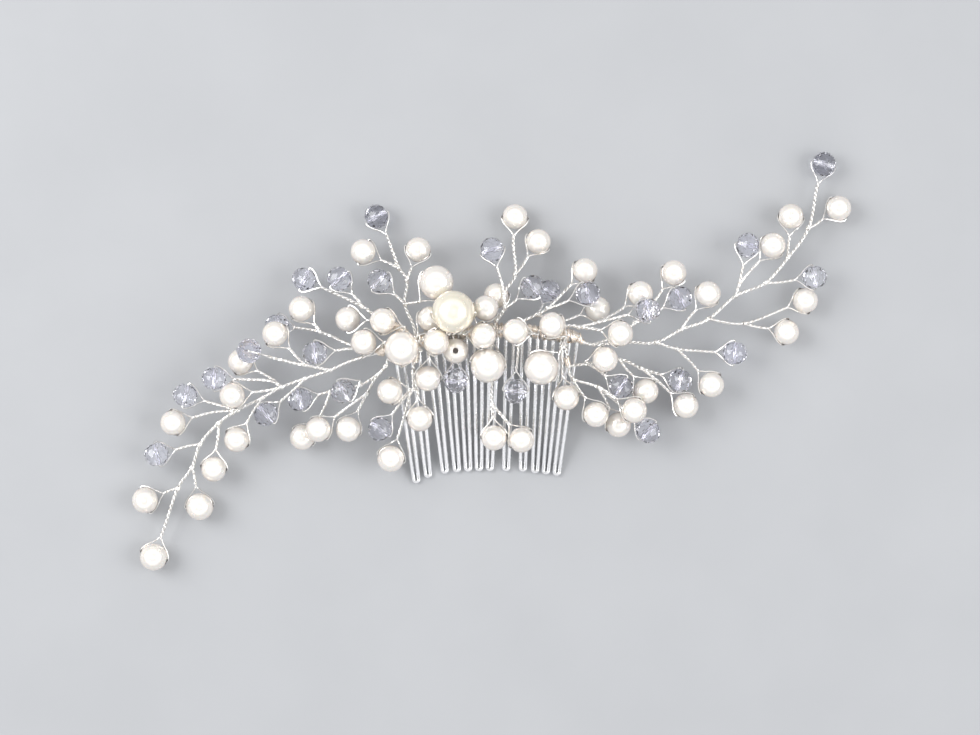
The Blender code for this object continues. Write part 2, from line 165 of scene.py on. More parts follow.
def make_drift_group():
    tree = bpy.data.node_groups.new("surface_drift", "ShaderNodeTree")
    wanted = [("Colour A", "NodeSocketColor"), ("Colour B", "NodeSocketColor")]
    wanted += [(name, "NodeSocketFloat") for name in ("Patches", "Gloss", "Dullness")]
    for name, kind in wanted:
        tree.interface.new_socket(name, in_out="INPUT", socket_type=kind)
    made = [("Colour", "NodeSocketColor"), ("Roughness", "NodeSocketFloat"), ("Height", "NodeSocketFloat")]
    for name, kind in made:
        tree.interface.new_socket(name, in_out="OUTPUT", socket_type=kind)
    source = add_node(tree, "NodeGroupInput")
    result = add_node(tree, "NodeGroupOutput")
    place = add_node(tree, "ShaderNodeTexCoord")
    patches = add_node(tree, "ShaderNodeTexNoise", Detail=3.0)
    finer = add_node(tree, "ShaderNodeMath", operation="MULTIPLY")
    finer.inputs[1].default_value = GRAIN_FINENESS
    grain = add_node(tree, "ShaderNodeTexNoise", Detail=2.0)
    spread = add_node(tree, "ShaderNodeMapRange", From_Min=0.35, From_Max=0.65)
    blend = add_node(tree, "ShaderNodeMix", data_type="RGBA")
    gloss = add_node(tree, "ShaderNodeMapRange", From_Min=0.3, From_Max=0.7)
    link = tree.links.new
    link(place.outputs["Object"], patches.inputs["Vector"])
    link(place.outputs["Object"], grain.inputs["Vector"])
    link(source.outputs["Patches"], patches.inputs["Scale"])
    link(source.outputs["Patches"], finer.inputs[0])
    link(finer.outputs[0], grain.inputs["Scale"])
    link(patches.outputs["Fac"], spread.inputs["Value"])
    link(spread.outputs["Result"], blend.inputs[MIX_FACTOR])
    link(source.outputs["Colour A"], blend.inputs[MIX_A])
    link(source.outputs["Colour B"], blend.inputs[MIX_B])
    link(grain.outputs["Fac"], gloss.inputs["Value"])
    link(source.outputs["Gloss"], gloss.inputs["To Min"])
    link(source.outputs["Dullness"], gloss.inputs["To Max"])
    link(blend.outputs[MIX_RESULT], result.inputs["Colour"])
    link(gloss.outputs["Result"], result.inputs["Roughness"])
    link(grain.outputs["Fac"], result.inputs["Height"])
    return tree


drift = make_drift_group()
print("group", drift.name, "with", len(drift.interface.items_tree), "sockets")


# %% A material that drifts
BUMP_HEIGHT = 0.02 * MM


def drifting_material(name, colour_a, colour_b, patches, gloss, dullness, bump, **shader_values):
    """A Principled material fed by the drift group. Constant values sit on the shader's own sockets."""
    material = bpy.data.materials.new(name)
    material.use_nodes = True
    tree = material.node_tree
    shader = tree.nodes["Principled BSDF"]
    group = tree.nodes.new("ShaderNodeGroup")
    group.node_tree = drift
    values = (("Colour A", (*colour_a, 1)), ("Colour B", (*colour_b, 1)))
    values += (("Patches", patches), ("Gloss", gloss), ("Dullness", dullness))
    for key, value in values:
        group.inputs[key].default_value = value
    relief = add_node(tree, "ShaderNodeBump", Strength=bump, Distance=BUMP_HEIGHT)
    tree.links.new(group.outputs["Colour"], shader.inputs["Base Color"])
    tree.links.new(group.outputs["Roughness"], shader.inputs["Roughness"])
    tree.links.new(group.outputs["Height"], relief.inputs["Height"])
    tree.links.new(relief.outputs["Normal"], shader.inputs["Normal"])
    for key, value in shader_values.items():
        shader.inputs[key.replace("_", " ")].default_value = value
    print("material", name)
    return material


# %% [markdown]
# ## Wire finishes
# Three wires are used. The sprays are soft silver plated wire, bright and a little uneven where pliers
# held it. The comb is harder wire with a satin finish. The winding over the rail is fine champagne
# coloured wire that looks warmer than the rest. All are metals, so their colour is the colour of what
# they reflect, and only roughness and tint tell them apart.

# %% Wire materials
silver_wire = drifting_material(
    "silver_wire", (0.97, 0.96, 0.94), (0.90, 0.88, 0.85), 420, 0.14, 0.28, 0.15, Metallic=1.0)
comb_steel = drifting_material(
    "comb_steel", (0.95, 0.95, 0.96), (0.87, 0.88, 0.89), 120, 0.2, 0.3, 0.05, Metallic=1.0)
champagne_wire = drifting_material(
    "champagne_wire", (0.98, 0.91, 0.83), (0.92, 0.82, 0.71), 500, 0.14, 0.28, 0.15, Metallic=1.0)

# %% [markdown]
# ## Nacre
# An imitation pearl is a ball dipped in layers of lacquer with fine pearl flakes. The body is ivory and
# soft, because light goes a little way into it, and a hard clear coat lies over that. Towards the rim
# the layers are crossed at a slant and turn faintly rose. Subsurface scattering gives the softness, the
# coat gives the second, sharper highlight, and a Layer Weight node gives the change towards the rim.
# The wall of the hole has no lacquer and is painted near black: painted shade for the dark inside the deep,
# narrow bore.


# %% Pearl material
RIM_ROSE = (0.95, 0.87, 0.82, 1)


def make_nacre(name, colour_a, colour_b):
    material = drifting_material(
        name, colour_a, colour_b, 90, 0.2, 0.28, 0.03, Metallic=0.45,
        Coat_Weight=1.0, Coat_Roughness=0.18, Coat_IOR=1.6, Subsurface_Weight=0.2,
        Subsurface_Radius=(1.0, 0.8, 0.6), Subsurface_Scale=0.8 * MM, Specular_IOR_Level=0.8)
    tree = material.node_tree
    shader = tree.nodes["Principled BSDF"]
    body_colour = shader.inputs["Base Color"].links[0].from_socket
    rim = add_node(tree, "ShaderNodeLayerWeight", Blend=0.35)
    tint = add_node(tree, "ShaderNodeMix", data_type="RGBA", blend_type="MULTIPLY")
    tint.inputs[MIX_B].default_value = RIM_ROSE
    tree.links.new(rim.outputs["Facing"], tint.inputs[MIX_FACTOR])
    tree.links.new(body_colour, tint.inputs[MIX_A])
    tree.links.new(tint.outputs[MIX_RESULT], shader.inputs["Base Color"])
    return material


ivory_nacre = make_nacre("ivory_nacre", (0.98, 0.95, 0.90), (0.96, 0.92, 0.86))
cream_nacre = make_nacre("cream_nacre", (0.99, 0.96, 0.83), (0.97, 0.92, 0.77))
# The wall of a pearl's hole: a near black colour that is painted shade, standing in for the dark inside the
# narrow bore.
painted_bore_shade = drifting_material(
    "painted_bore_shade", (0.10, 0.08, 0.07), (0.06, 0.05, 0.045), 300, 0.6, 0.8, 0.1)

# %% [markdown]
# ## Cut glass
# The glass beads are clear with a breath of lilac and blue. Light has to pass through them, so the
# material transmits fully, and the sparkle comes from real facets and a real bore, not from a pattern.

# %% Glass material
cut_glass = drifting_material(
    "cut_glass", (0.95, 0.955, 1.0), (0.90, 0.90, 1.0), 150, 0.0, 0.02, 0.0,
    Transmission_Weight=1.0, IOR=1.65)

# %% [markdown]
# ## Working by hand in edit mode
# The next pieces start as a primitive and are shaped with the same operators that a person would use.
# An operator acts on what is selected, so each step first picks faces or edges by their place.


# %% Selection helpers
def select_only(obj):
    """Makes obj the one selected and active object."""
    if bpy.context.view_layer.objects.active and bpy.context.object.mode != "OBJECT":
        bpy.ops.object.mode_set(mode="OBJECT")
    bpy.ops.object.select_all(action="DESELECT")
    obj.select_set(True)
    bpy.context.view_layer.objects.active = obj


def start_edit(obj):
    select_only(obj)
    bpy.ops.object.mode_set(mode="EDIT")


def end_edit():
    bpy.ops.object.mode_set(mode="OBJECT")


def pick_faces(obj, test):
    """Selects the faces whose middle and normal pass the test, in edit mode."""
    bpy.ops.mesh.select_mode(type="FACE")
    bpy.ops.mesh.select_all(action="DESELECT")
    mesh = bmesh.from_edit_mesh(obj.data)
    for face in mesh.faces:
        face.select_set(test(face.calc_center_median(), face.normal))
    bmesh.update_edit_mesh(obj.data)


def pick_edges(obj, test):
    """Selects the edges whose two ends both pass the test, in edit mode."""
    bpy.ops.mesh.select_mode(type="EDGE")
    bpy.ops.mesh.select_all(action="DESELECT")
    mesh = bmesh.from_edit_mesh(obj.data)
    for edge in mesh.edges:
        edge.select_set(all(test(vert.co) for vert in edge.verts))
    bmesh.update_edit_mesh(obj.data)


# %% [markdown]
# ## A bored pearl
# A pearl is a ball with a drilled hole, and the lip of the hole is slightly rounded by the lacquer. A
# sphere is cut off at both poles where the drill meets it, the two round openings are joined with a
# tube, and the two lips are bevelled. It is modelled once for each size, because the drill stays the
# same while the ball grows.

# %% Pearl model
BORE_RADIUS = 0.36 * MM
PEARL_SEGMENTS = 40
PEARL_RINGS = 28
LIP_ROUNDING = 0.06 * MM
LARGE_RADIUS = 4.5 * MM  # a pearl above this is the one large cream pearl
PICKING_MARGIN = 0.01 * MM  # edges are picked by their place, give or take this
PEARL_SMOOTHING = math.radians(40)


def model_pearl(radius):
    bpy.ops.object.select_all(action="DESELECT")
    bpy.ops.mesh.primitive_uv_sphere_add(segments=PEARL_SEGMENTS, ring_count=PEARL_RINGS, radius=radius)
    obj = bpy.context.object
    mouth = math.sqrt(radius**2 - BORE_RADIUS**2)
    start_edit(obj)
    for side in (1, -1):
        bpy.ops.mesh.select_all(action="SELECT")
        bpy.ops.mesh.bisect(plane_co=(0, 0, side * mouth), plane_no=(0, 0, side), clear_outer=True)
    lip = mouth - PICKING_MARGIN
    pick_edges(obj, lambda co: abs(co.z) > lip)
    bpy.ops.mesh.bridge_edge_loops()
    finish = cream_nacre if radius > LARGE_RADIUS else ivory_nacre
    for material in (finish, painted_bore_shade):
        obj.data.materials.append(material)
    # The faces of the bore take the second material, the painted shade of the hole.
    pick_faces(obj, lambda middle, normal: middle.xy.length < BORE_RADIUS)
    obj.active_material_index = 1
    bpy.ops.object.material_slot_assign()
    for side in (1, -1):
        pick_edges(obj, lambda co: co.z * side > lip)
        bpy.ops.mesh.bevel(offset=LIP_ROUNDING, segments=2)
    bpy.ops.mesh.select_all(action="SELECT")
    bpy.ops.mesh.normals_make_consistent(inside=False)
    end_edit()
    bpy.ops.object.shade_smooth_by_angle(angle=PEARL_SMOOTHING)
    return finish_model(obj, f"pearl_model_{radius * 2 / MM:.1f}")


def finish_model(obj, name):
    """Takes a model out of the scene, to be copied by its mesh."""
    mesh = obj.data
    mesh.name = name
    bpy.data.objects.remove(obj)
    print(name, len(mesh.polygons), "faces")
    return mesh


# %% [markdown]
# ## A faceted glass rondelle
# The glass bead is a squat ball cut into rings of ten triangles, each ring turned by half a facet
# against the next, with a small flat at each end where the hole comes out. A ten sided cylinder is
# its girdle. Each end is extruded, drawn in and turned by half a step, twice over, and the twisted
# four sided faces are then split into triangles. The facets stay flat shaded, because they are flat.

# %% Glass bead model
GLASS_DIAMETER = 5.9 * MM
GLASS_THICKNESS = 0.93  # along the hole, as a share of the diameter
FACETS = 10
# each ring: how far out from the middle along the hole, and its radius, as shares of the half sizes
FACET_RINGS = ((0.64, 0.81), (0.92, 0.48))
GIRDLE = 0.22
END_FACING = 0.9  # an end face's normal is at least this much along the hole
GLASS_BORE_RADIUS = BORE_RADIUS * 1.25
NEAR_BORE = BORE_RADIUS * 1.6  # only the edges of the bore's two mouths are nearer the axis


def turn_selected(angle):
    """Turns what is selected about the hole."""
    bpy.ops.transform.rotate(value=angle, orient_axis="Z", center_override=(0, 0, 0))


def model_glass_bead():
    radius = GLASS_DIAMETER / 2
    half = radius * GLASS_THICKNESS
    step = math.pi / FACETS
    bpy.ops.object.select_all(action="DESELECT")
    bpy.ops.mesh.primitive_cylinder_add(vertices=FACETS, radius=radius, depth=2 * half * GIRDLE)
    obj = bpy.context.object
    start_edit(obj)
    for side in (1, -1):
        pick_faces(obj, lambda middle, normal: normal.z * side > END_FACING)
        turn_selected(side * step / 2)
        reached, size = half * GIRDLE, 1.0
        for out, wide in FACET_RINGS:
            bpy.ops.mesh.extrude_region_move(
                TRANSFORM_OT_translate={"value": (0, 0, side * (half * out - reached))})
            bpy.ops.transform.resize(value=(wide / size, wide / size, 1), center_override=(0, 0, 0))
            turn_selected(side * step)
            reached, size = half * out, wide
        bpy.ops.mesh.inset(thickness=radius * size - GLASS_BORE_RADIUS)
        bpy.ops.mesh.delete(type="FACE")
    mouth = half * FACET_RINGS[-1][0] - PICKING_MARGIN
    pick_edges(obj, lambda co: abs(co.z) > mouth and co.xy.length < NEAR_BORE)
    bpy.ops.mesh.bridge_edge_loops()
    bpy.ops.mesh.select_all(action="SELECT")
    bpy.ops.mesh.quads_convert_to_tris(quad_method="SHORTEST_DIAGONAL")
    bpy.ops.mesh.normals_make_consistent(inside=False)
    end_edit()
    obj.data.materials.append(cut_glass)
    return finish_model(obj, "glass_bead_model")


glass_model = model_glass_bead()


# %% Threading a model on its place
def place_bead(name, model, bead, hole, spin, body):
    """Copies a model, with its hole along the wire, and lets it ride on its body."""
    mesh = model.copy()
    turn = hole.to_track_quat("Z", "Y").to_matrix().to_4x4() @ Matrix.Rotation(spin, 4, "Z")
    mesh.transform(Matrix.Translation(bead.centre) @ turn)
    obj = bpy.data.objects.new(name, mesh)
    bpy.context.scene.collection.objects.link(obj)
    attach(obj, body)
    return obj


# %% [markdown]
# ## The sprays as their maker twists them
# A spray is one long soft wire. The maker threads a bead, folds the wire round it and twists the two
# strands together below it; that makes a stem. Each stem then joins the one before it. The table gives
# each stem its start on an earlier stem, the points that it bends through and the bead at its end, in
# millimetres in the frame. The solids follow the same routes, so the fine wire lies within the plain one
# or close beside it. Only two stems, on the upper link of the right vine, start higher than their solid.


# %% Beads and stems
class Bead:
    """A threaded bead. An upright one has its hole pointing up, and an end bead is held from below only."""

    def __init__(self, place, size, glass=False, fixed=False, upright=False, end=False):
        self.centre = Vector(place) * MM
        self.radius = size / 2 * MM
        self.glass = glass
        self.fixed = fixed
        self.upright = upright
        self.end = end


def pearl(x, y, z, size=6.0):
    return Bead((x, y, z), size)


def joined_pearl(x, y, z, size=6.0, end=False):
    return Bead((x, y, z), size, fixed=True, upright=end, end=end)


def crystal(x, y, z, upright=False):
    return Bead((x, y, z), GLASS_DIAMETER / MM, glass=True, fixed=True, upright=upright)


def stem(start, route, bead):
    return start, [Vector(point) * MM for point in route], bead


# %% Routes of the left hand sprays
SPRAYS = {
    "left_vine": [
        stem(None, [(-27.2, 2, 11), (-33.5, 0, 10.8), (-38, -2, 10.5), (-44, -4, 10), (-49.5, -6, 9.6),
                    (-54, -8.5, 9.2), (-60, -11.5, 8.6), (-64.5, -14.5, 8), (-69, -19.5, 7.2),
                    (-71, -25, 6.2), (-74.5, -30, 5.2), (-77.5, -38.5, 4.2)],
             pearl(-80.5, -46.5, 3.25, size=6.5)),
        stem((0, 10), [], pearl(-82.5, -33, 3.6, size=6.2)),
        stem((0, 9), [], pearl(-69.5, -34.5, 3.5, size=6.5)),
        stem((0, 8), [], crystal(-79.5, -22, 5.5)),
        stem((0, 7), [], pearl(-66, -25.5, 5)),
        stem((0, 6), [(-66, -12, 7.6)], pearl(-75.5, -14.5, 6.5)),
        stem((0, 6), [(-63.5, -10.5, 8.4)], crystal(-72.5, -8, 7)),
        stem((0, 5), [], pearl(-60.5, -18.5, 5.8)),
        stem((0, 4), [], pearl(-61, -8, 11.3)),
        stem((0, 4), [(-52.5, -4.5, 9.8)], crystal(-65.5, -4, 9)),
        stem((0, 4), [(-52, -4, 8.8)], pearl(-59.5, 0, 6.5)),
        stem((0, 3), [(-46.5, -6.5, 9.2)], crystal(-53.5, -12.5, 5.9)),
        stem((0, 2), [(-43.5, -1, 10.8), (-50, 0.5, 11.3)], crystal(-57, 2.5, 11.8, upright=True)),
        stem((0, 2), [(-44, -0.5, 10.9)], pearl(-51, 6.5, 11)),
        stem((0, 0), [(-33.5, 4, 9.5), (-40.5, 7, 8.5), (-46.5, 8, 6.5)], crystal(-51, 8.5, 5)),
        stem((14, 2), [], pearl(-45, 12.5, 8.3)),
        stem((0, 0), [(-25, 4.5, 12.6)], pearl(-30, 4.5, 14)),
        stem((0, 0), [(-33, 3, 11.4)], crystal(-41.5, 2, 12.5)),
    ],
    "lower_left_spray": [
        stem(None, [(-25, -1, 9.5), (-27.5, -4, 9), (-29.5, -7.5, 8)], pearl(-34, -16, 7)),
        stem((0, 2), [(-34.5, -11, 8)], pearl(-41, -16, 8.8)),
        stem((0, 0), [(-27, -3, 9.3), (-31, -5.5, 8.6), (-38, -7, 7.8)], crystal(-45.5, -9, 6.5)),
        stem((2, 2), [(-31, -4.5, 10.2)], crystal(-35, -7, 11)),
        stem((2, 3), [(-40.5, -12.5, 5.5)], pearl(-45, -18, 4.5)),
    ],
    "upper_left_spray": [
        stem(None, [(-18.5, 8.5, 12), (-20.5, 13.5, 11), (-20, 19, 9.5), (-22, 22, 8),
                    (-23, 24.5, 7.2), (-25, 30, 4.5)], crystal(-27.5, 34.5, 2.9)),
        stem((0, 3), [], pearl(-30.5, 26, 6.5)),
        stem((0, 2), [], pearl(-17.5, 26.5, 6)),
        stem((0, 1), [], crystal(-26.5, 19, 9.5)),
        stem((0, 1), [(-17, 14, 12.4)], pearl(-13, 18.5, 13, size=8)),
    ],
    "left_shoulder_spray": [
        stem(None, [(-20.5, 7.5, 12.5), (-25, 9.5, 11.5), (-28.5, 11.5, 10.8), (-30.5, 13, 10.3)],
             crystal(-44.5, 19.5, 5.5)),
        stem((0, 3), [], crystal(-36, 19.5, 8.5)),
        stem((0, 1), [], joined_pearl(-34, 10, 8.5)),
        stem((0, 0), [(-20.3, 8, 13.6)], pearl(-25.5, 9.5, 15)),
    ],
    "left_drop": [
        stem(None, [(-18, 2, 12), (-18.5, -2.5, 11.5), (-18.5, -6.5, 10.6)], joined_pearl(-24, -7, 11.3)),
        stem((0, 2), [], crystal(-26.5, -16, 7)),
        stem((0, 2), [(-19.5, -8.5, 10), (-21, -14, 8)], joined_pearl(-24, -23, 5.5, size=6.4)),
        stem((0, 1), [(-17.5, -6.5, 10.5)], pearl(-17, -13.5, 9.5)),
    ],
}
print(sum(len(stems) for stems in SPRAYS.values()), "beads on the left")

# %% Routes of the middle sprays
SPRAYS |= {
    "cluster": [
        stem(None, [(-18.5, 4.5, 12.8), (-14.5, 5.5, 12.8), (-9, 6.5, 12.8), (-4, 7, 12.8),
                    (0.5, 7, 12.8), (6, 7, 12.8), (11, 6.5, 12.8)], pearl(5.5, 7, 16.5)),
        stem((0, 2), [], pearl(-9, 11.5, 18, size=10)),
        stem((0, 0), [(-16.5, 2.5, 12.8)], pearl(-21, 3, 17.2, size=8)),
        stem((0, 0), [], pearl(-13, 4.5, 16.5)),
        stem((0, 1), [], joined_pearl(-8.5, 2.5, 13, end=True)),
        stem((0, 0), [], joined_pearl(-14.5, 10, 12)),
        stem((0, 2), [], joined_pearl(-2, 6, 16.5)),
        stem((0, 3), [], pearl(-1.5, 12.5, 14)),
        stem((0, 4), [], pearl(-1, -1, 14.5, size=8)),
        stem((0, 2), [], crystal(-8.5, -4.5, 12)),
        stem((0, 5), [], crystal(5.5, -7, 11.5)),
        stem((0, 1), [], joined_pearl(-15, -4, 12.5)),
    ],
    "right_cluster": [
        stem(None, [(16.5, 3.5, 11.8), (15.8, 2.2, 12)], pearl(11.5, -1.5, 14, size=8)),
        stem((0, 0), [(16.5, -3, 11)], joined_pearl(17.5, -8.5, 10.8)),
        stem((0, 0), [(17.5, 6, 13.5)], joined_pearl(14, 8.5, 15.5)),
    ],
    "centre_drop": [
        stem(None, [(0, 2.5, 10.6), (0, -3, 10), (0, -10, 9.6)], joined_pearl(0.5, -18, 8.5)),
        stem((0, 2), [(3, -13.5, 9.3)], joined_pearl(7, -18.5, 8.5)),
    ],
    "top_spray": [
        stem(None, [(1, 9.5, 12.8), (3, 12.5, 12.2), (3, 16.5, 11.3), (5.5, 20.5, 9), (5, 27.5, 5.5)],
             pearl(5.5, 34.5, 3)),
        stem((0, 3), [], pearl(11, 28.5, 4.5)),
        stem((0, 1), [(2.5, 17.5, 10.8)], crystal(0, 26.5, 6)),
        stem((0, 1), [], crystal(9.5, 17.5, 9.6)),
        stem((0, 0), [(2, 10.5, 10)], joined_pearl(1, 15.5, 8.2)),
    ],
}
print(sum(len(stems) for stems in SPRAYS.values()), "beads so far")

# %% Routes of the right hand sprays
SPRAYS |= {
    "upper_right_spray": [
        stem(None, [(7.5, 9.5, 12.6), (10.5, 11, 12), (13, 12.5, 11.5), (17, 16.5, 9.5)],
             joined_pearl(22, 21.5, 7)),
        stem((0, 2), [], crystal(22.5, 16, 10.2)),
        stem((0, 1), [(16, 9.5, 10.5)], joined_pearl(25, 12.5, 6)),
        stem((0, 1), [], crystal(13.5, 16.5, 5.3)),
    ],
    "right_vine": [
        stem(None, [(21.5, 4.5, 11.2), (24, 4, 11), (32, 4.5, 10.8), (38.5, 4.5, 10.3), (44.5, 7.5, 9.8),
                    (51, 10, 9.3), (57.5, 15.5, 8.5), (64.5, 18.5, 7.8), (70, 24.5, 7), (75, 31.5, 5.6),
                    (77, 40.5, 4)], crystal(79, 47, 2.9)),
        stem((0, 9), [], pearl(82.5, 36.5, 3.3)),
        stem((0, 8), [], pearl(71, 34.5, 4.5)),
        stem((0, 6), [(58.5, 19, 8)], crystal(60.5, 27.5, 6.5)),
        stem((0, 6), [(59, 19, 7.8)], pearl(66.5, 27.5, 6.5)),
        stem((0, 7), [], crystal(76.5, 20, 5.5)),
        stem((0, 5), [(59.5, 9, 8)], pearl(74.5, 14.5, 3.8)),
        stem((6, 1), [], pearl(70, 7, 4)),
        stem((0, 4), [], pearl(51, 16, 8.5)),
        stem((0, 3), [(43.5, 3, 9.2), (49, 2.5, 7.8)], crystal(57.5, 2, 6)),
        stem((9, 1), [], pearl(52, -5.5, 6.3)),
        stem(None, [(20.4, 8.1, 12.6), (25.2, 7.4, 13.4)], pearl(30, 6.5, 14.6)),
        stem((0, 1), [(29, 6, 10.2), (33.5, 9, 9.8), (38.5, 14.5, 8.6)], pearl(43, 21, 7)),
        stem((12, 2), [], crystal(44.5, 15, 7.5)),
        stem((11, 0), [(25, 9.2, 12.2), (30, 10.5, 12.3)], crystal(36.5, 12, 13.4)),
        stem((14, 1), [(30, 12, 10)], pearl(35, 16, 8.8)),
    ],
    "lower_right_spray": [
        stem(None, [(18, -1, 10.3), (22.5, -0.5, 9.8), (30, 0.5, 9), (35, -1.5, 8.2)],
             crystal(44.5, -4.5, 6.5)),
        stem((0, 1), [(22, 0, 11.2)], pearl(26.5, 0.5, 13.2)),
        stem((0, 1), [], crystal(30.5, -6, 7.5)),
        stem((0, 2), [], pearl(36.5, -7, 6)),
        stem((0, 3), [], pearl(46, -10.5, 5.2)),
        stem((0, 0), [(19, -4, 9.8), (25, -6, 9)], pearl(33.5, -11.5, 10)),
        stem((5, 2), [(30, -10, 6.2)], crystal(37, -16.5, 6)),
        stem((5, 1), [], pearl(24.5, -12.5, 9)),
        stem((5, 2), [], pearl(30, -15, 5.2)),
    ],
}
print(sum(len(stems) for stems in SPRAYS.values()), "beads in all")

# %% [markdown]
# ## A smooth wire through a few points
# A maker's fingers bend a wire in soft curves, so a wire isn't a row of straight runs. A curve that
# passes through every point of a route, with a new point every few tenths of a millimetre, gives that.


# %% Smoothing a route
SUBDIVISIONS = 24
NO_LENGTH = 1e-9  # keeps a division by a zero length away
WELD_DISTANCE = 0.0001 * MM
WIRE_SMOOTHING = math.radians(60)


def smooth_route(points, step):
    """Evenly spaced points, about step apart, on a smooth curve through the given ones."""
    padded = [points[0] * 2 - points[1], *points, points[-1] * 2 - points[-2]]
    fine = []
    for a, b, c, d in zip(padded, padded[1:], padded[2:], padded[3:]):
        for i in range(SUBDIVISIONS):
            t = i / SUBDIVISIONS
            point = b * 2 + (c - a) * t + (a * 2 - b * 5 + c * 4 - d) * t**2
            fine.append((point + (b * 3 - a - c * 3 + d) * t**3) / 2)
    fine.append(points[-1].copy())
    travelled = [0.0]
    for before, after in zip(fine, fine[1:]):
        travelled.append(travelled[-1] + (after - before).length)
    count = max(2, round(travelled[-1] / step))
    even = []
    at = 0
    for i in range(count + 1):
        wanted = travelled[-1] * i / count
        while at < len(fine) - 2 and travelled[at + 1] < wanted:
            at += 1
        share = (wanted - travelled[at]) / max(travelled[at + 1] - travelled[at], NO_LENGTH)
        even.append(fine[at].lerp(fine[at + 1], share))
    return even


def make_wire(name, strands, radius, sides, material, body):
    """One piece of round wire along each list of points. sides is the curve's bevel resolution."""
    curve = bpy.data.curves.new(name, "CURVE")
    curve.dimensions = "3D"
    curve.bevel_depth = radius
    curve.bevel_resolution = sides
    curve.use_fill_caps = True
    for points in strands:
        spline = curve.splines.new("POLY")
        spline.points.add(len(points) - 1)
        for spline_point, point in zip(spline.points, points):
            spline_point.co = (*point, 1)
    obj = bpy.data.objects.new(name, curve)
    bpy.context.scene.collection.objects.link(obj)
    select_only(obj)
    bpy.ops.object.convert(target="MESH")
    start_edit(obj)
    bpy.ops.mesh.select_all(action="SELECT")
    bpy.ops.mesh.remove_doubles(threshold=WELD_DISTANCE)
    bpy.ops.mesh.normals_make_consistent(inside=False)
    end_edit()
    bpy.ops.object.shade_smooth_by_angle(angle=WIRE_SMOOTHING)
    obj.data.materials.clear()
    obj.data.materials.append(material)
    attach(obj, body)
    return obj


# %% [markdown]
# ## The twisted stem and the eye that holds the bead
# Below its bead the wire is a rope of two strands, with one full turn every few millimetres.
# Near the bead the strands part, run along its sides to the two ends of the hole, and are one and the
# same wire inside it. So each stem is a single line: up the first strand, round the bead and through
# it, and back down the second strand. The twist is worked back from the fork, so that the strands
# arrive there side by side in line with the hole.

# %% Twisting a stem
STRAND_RADIUS = 0.2 * MM
TRUNK_STRAND_RADIUS = 0.24 * MM  # the middle of a trunk's strand from the middle of the rope
TWIST_PITCH = 2.4 * MM
POINTS_A_TURN = 9
FORK_REACH = 1.6 * MM  # from the bead's surface to the point where its two strands part
CLEARANCE = 0.24 * MM  # between the bead's surface and the middle of a strand
BOW = 0.03  # how far a short straight stem bows to one side, as a share of its length
EYE_ROUTE = (  # degrees round the bead from the fork towards the hole, and the way out from its surface
    (46, CLEARANCE), (64, CLEARANCE), (79, CLEARANCE * 1.2), (88, CLEARANCE * 0.9),
    (90, -0.2 * MM), (90, -1.1 * MM))
EYE_STEP = 0.35 * MM


def bead_frame(bead, neck):
    """The direction from the bead towards its stem, and the direction of its hole."""
    towards = (neck - bead.centre).normalized()
    if bead.upright:
        hole = Vector((0, 0, 1))
        towards = (towards - hole * towards.dot(hole)).normalized()
    else:
        hole = Vector((0, 0, 1)).cross(towards).normalized()
    return towards, hole


def twist(route, hole, strand_radius):
    """The two strands of a rope along the route, side by side along the hole at its far end."""
    step = TWIST_PITCH / POINTS_A_TURN
    points = smooth_route(route, step)
    last = len(points) - 1
    sideways = hole
    strands = ([], [])
    for i in range(last, -1, -1):
        along = (points[min(i + 1, last)] - points[max(i - 1, 0)]).normalized()
        sideways = (sideways - along * sideways.dot(along)).normalized()
        angle = math.tau * (last - i) / POINTS_A_TURN
        offset = sideways * math.cos(angle) + along.cross(sideways) * math.sin(angle)
        for strand, sign in zip(strands, (1, -1)):
            strand.append(points[i] + offset * (sign * strand_radius))
    return strands[0][::-1], strands[1][::-1]


def eye(bead, towards, hole, fork):
    """The strand's way from the fork along the bead's side, through its hole and back to the fork."""
    half = bead.radius * (GLASS_THICKNESS if bead.glass else 1)

    def beside(degrees, gap, side):
        angle = math.radians(degrees)
        out = towards * (math.cos(angle) * (bead.radius + gap))
        return bead.centre + out + hole * (side * math.sin(angle) * (half + gap))

    halves = []
    for side in (1, -1):
        way = -1 if bead.end else side
        past = [beside(degrees, gap, way) for degrees, gap in EYE_ROUTE]
        points = [fork + hole * (side * STRAND_RADIUS), fork.lerp(past[0], 0.5), *past]
        if bead.end:
            apart = hole.cross(towards) * (side * STRAND_RADIUS)
            points = points[:1] + [point + apart for point in points[1:]]
        halves.append(points)
    return smooth_route(halves[0] + [bead.centre] + halves[1][::-1], EYE_STEP)


def stem_strand(route, bead, strand_radius, bow):
    """One stem's whole wire, from its root to its bead and back."""
    towards, hole = bead_frame(bead, route[-1])
    fork = bead.centre + towards * (bead.radius + FORK_REACH)
    line = [*route, fork]
    if len(line) == 2:
        run = fork - route[0]
        line.insert(1, route[0].lerp(fork, 0.5) + run.cross(Vector((0, 0, 1))) * bow)
    up, down = twist(line, hole, strand_radius)
    return up + eye(bead, towards, hole, fork)[1:-1] + down[::-1], hole


# %% [markdown]
# ## Where a spray is tied on
# At its root a spray runs on to the rail and is tied there, and where one stem leaves another the
# strand takes a turn round it. Those turns are what make the little knots that are seen at each fork.
# The three sprays that can be bent are tied by a link of their own, which stays with the comb while
# the spray swings about the end of it.

